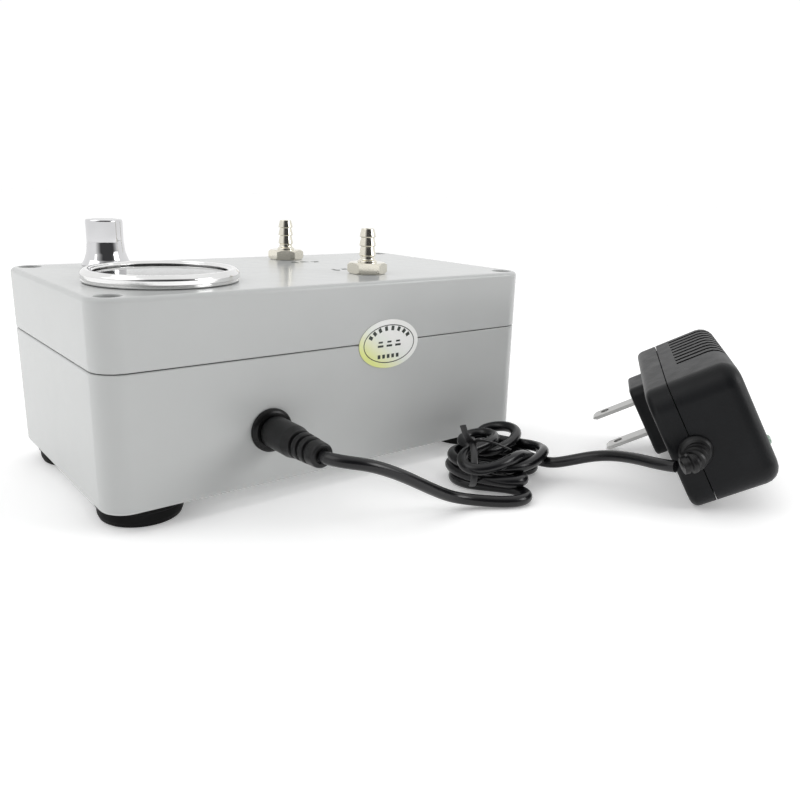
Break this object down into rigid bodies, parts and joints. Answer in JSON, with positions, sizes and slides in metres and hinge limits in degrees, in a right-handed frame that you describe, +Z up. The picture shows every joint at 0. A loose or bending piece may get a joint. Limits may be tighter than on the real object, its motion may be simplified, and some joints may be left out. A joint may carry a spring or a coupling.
{
  "type": "suction pump",
  "caption": "Small bench suction pump: grey box on rubber feet with a vacuum gauge, speed knob, inlet and outlet hose barbs, and a corded wall adapter.",
  "frame": {"origin": "centre of the footprint, on the surface that the feet stand on", "axes": "+X along the long side, +Y from the power socket's wall to the opposite wall, +Z up"},
  "size_m": [0.2246, 0.1893, 0.0822],
  "materials": {
    "shell_grey": "satin moulded ABS",
    "black_rubber": "matt",
    "seal_foil": "foil sticker with a yellow-green tint",
    "black_plastic": "matt",
    "polished_steel": "polished stainless steel",
    "clear_glass": "clear",
    "dial_white": "printed white enamel",
    "yellow_brass": "machined",
    "zinc_steel": "zinc plated",
    "nickel_brass": "nickel plated",
    "gloss_black": "glossy",
    "silicone": "translucent white",
    "circuit_board": "green solder mask",
    "black_enamel": "black enamel",
    "chrome_plate": "bright plating",
    "black_vinyl": "soft black vinyl",
    "cord_vinyl": "glossy vinyl jacket",
    "tie_black": "plastic-covered wire",
    "adapter_black": "fine spark texture",
    "nickel_blade": "nickel plated",
    "led_lens": "frosted",
    "nylon_white": "moulded"
  },
  "bodies": {
    "housing": {"lower_housing": "shell_grey", "upper_cover": "shell_grey", "cover_gasket": "black_rubber", "cover_screw_1": "zinc_steel", "cover_screw_2": "zinc_steel", "cover_screw_3": "zinc_steel", "cover_screw_4": "zinc_steel", "foot_1": "black_rubber", "foot_2": "black_rubber", "foot_3": "black_rubber", "foot_4": "black_rubber", "foot_screw_1": "zinc_steel", "foot_screw_2": "zinc_steel", "foot_screw_3": "zinc_steel", "foot_screw_4": "zinc_steel", "quality_seal": "seal_foil", "gauge_case": "black_plastic", "gauge_bezel": "polished_steel", "gauge_lens": "clear_glass", "gauge_dial": "dial_white", "movement_plate": "yellow_brass", "bourdon_tube": "yellow_brass", "gauge_tee": "yellow_brass", "potentiometer": "zinc_steel", "potentiometer_nut": "zinc_steel", "inlet_barb": "nickel_brass", "outlet_barb": "nickel_brass", "inlet_locknut": "nickel_brass", "outlet_locknut": "nickel_brass", "power_socket": "gloss_black", "socket_nut": "zinc_steel", "pump_motor": "zinc_steel", "pump_crankcase": "black_plastic", "pump_diaphragm": "black_rubber", "pump_head": "black_plastic", "suction_tube": "silicone", "vacuum_tube": "silicone", "exhaust_tube": "silicone", "control_board": "circuit_board"},
    "needle": {"gauge_needle": "black_enamel", "needle_arbor": "yellow_brass"},
    "sector": {"sector_gear": "yellow_brass"},
    "knob": {"control_knob": "chrome_plate", "potentiometer_shaft": "yellow_brass"},
    "power_lead": {"dc_plug": "black_vinyl", "dc_plug_barrel": "nickel_brass", "cord_lead": "cord_vinyl", "cord_hank": "cord_vinyl", "cord_tail": "cord_vinyl", "cord_tie": "tie_black", "adapter_front_case": "adapter_black", "adapter_rear_case": "adapter_black", "adapter_plug_block": "adapter_black", "adapter_blade_lower": "nickel_blade", "adapter_blade_upper": "nickel_blade", "adapter_strain_relief": "black_vinyl", "adapter_led": "led_lens", "adapter_board": "circuit_board"},
    "rotor": {"crank": "zinc_steel"},
    "conrod": {"connecting_rod": "nylon_white"}
  },
  "joints": [
    {"name": "knob_turn", "type": "hinge", "parent": "housing", "child": "knob", "pos_m": [-0.0517, 0.025, 0.075], "axis": [0, 0, -1], "range_deg": [0, 300]},
    {"name": "needle_turn", "type": "hinge", "parent": "housing", "child": "needle", "pos_m": [-0.0484, -0.0145, 0.06], "axis": [0, 0, -1], "range_deg": [0, 270], "stiffness_Nm_per_rad": 0.00001},
    {"name": "sector_turn", "type": "hinge", "parent": "housing", "child": "sector", "pos_m": [-0.0375, -0.0145, 0.056], "axis": [0, 0, -1], "range_deg": [-46, 0]},
    {"name": "plug_pull", "type": "slide", "parent": "housing", "child": "power_lead", "axis": [0, -1, 0], "range_m": [0, 0.014]},
    {"name": "crank_spin", "type": "hinge", "parent": "housing", "child": "rotor", "pos_m": [0.034, 0.009, 0.028], "axis": [1, 0, 0], "continuous": true, "deforming": ["pump_diaphragm"]},
    {"name": "rod_pivot", "type": "hinge", "parent": "rotor", "child": "conrod", "pos_m": [0.0395, 0.01075, 0.028], "axis": [1, 0, 0], "continuous": true}
  ],
  "couplings": [
    {"joint": "sector_turn", "follows": "needle_turn", "ratio": -0.16667},
    {"joint": "rod_pivot", "follows": "crank_spin", "ratio": -1}
  ]
}
